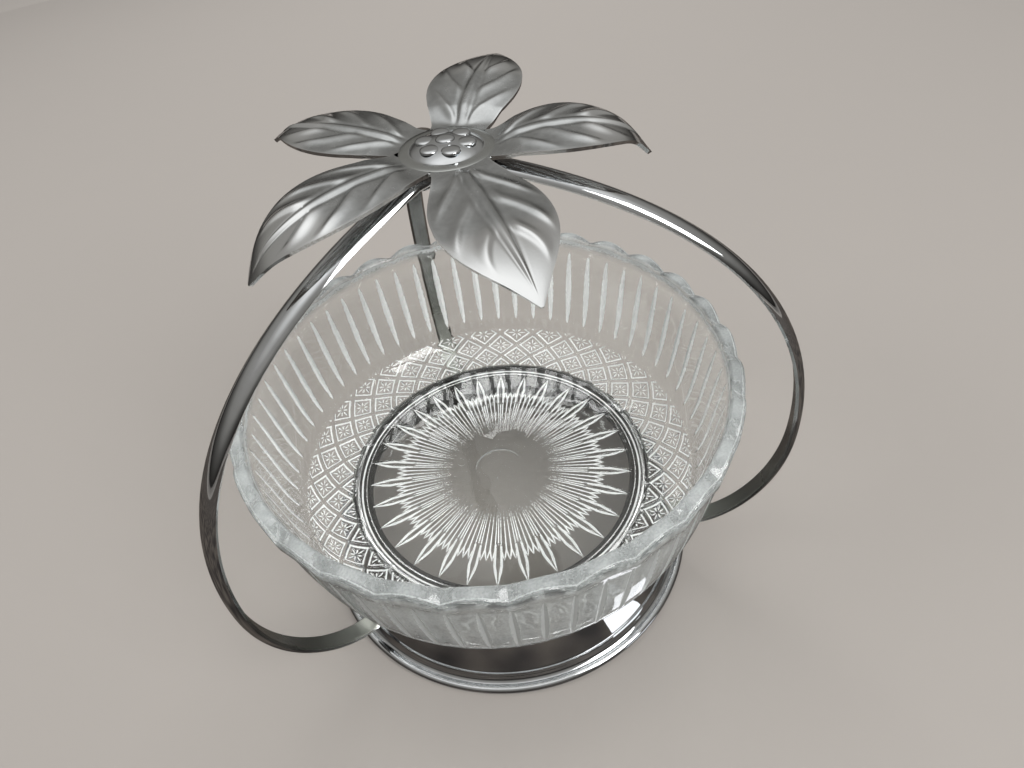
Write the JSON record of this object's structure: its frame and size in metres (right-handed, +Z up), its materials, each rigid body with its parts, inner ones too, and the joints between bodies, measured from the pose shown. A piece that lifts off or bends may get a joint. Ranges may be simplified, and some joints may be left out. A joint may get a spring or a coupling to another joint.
{
  "type": "bonbon dish",
  "caption": "Pressed glass bowl on a bright metal pedestal, carried between curved arms that meet under a rosette of stamped leaves with a berry boss.",
  "frame": {"origin": "on the surface that the dish stands on, under the middle of the whole outline; the bowl's axis is 7.3 mm behind it on -Y", "axes": "+Z up; +Y towards the arm at the back; +X to the right of someone who looks along +Y"},
  "size_m": [0.1426, 0.1452, 0.1345],
  "materials": {
    "glass": "clear pressed glass, fire polished",
    "chrome": "bright chrome plate",
    "leaf_metal": "satin grey plate on stamped sheet, polished at the tips",
    "fastener_steel": "bare bright steel"
  },
  "bodies": {
    "stand": {"pedestal": "chrome", "arm_back": "chrome", "arm_left": "chrome", "arm_right": "chrome", "pedestal_rivet_back": "fastener_steel", "pedestal_rivet_left": "fastener_steel", "pedestal_rivet_right": "fastener_steel", "hub_rivet_back": "fastener_steel", "hub_rivet_left": "fastener_steel", "hub_rivet_right": "fastener_steel", "hub_plate": "fastener_steel", "hub_washer": "fastener_steel", "hub_screw": "fastener_steel", "leaf_rosette": "leaf_metal", "berry_boss": "chrome"},
    "bowl": {"glass_bowl": "glass"}
  },
  "joints": [
    {"name": "bowl_lift", "type": "slide", "parent": "stand", "child": "bowl", "axis": [0, 0, 1], "range_m": [0, 0.025]}
  ]
}
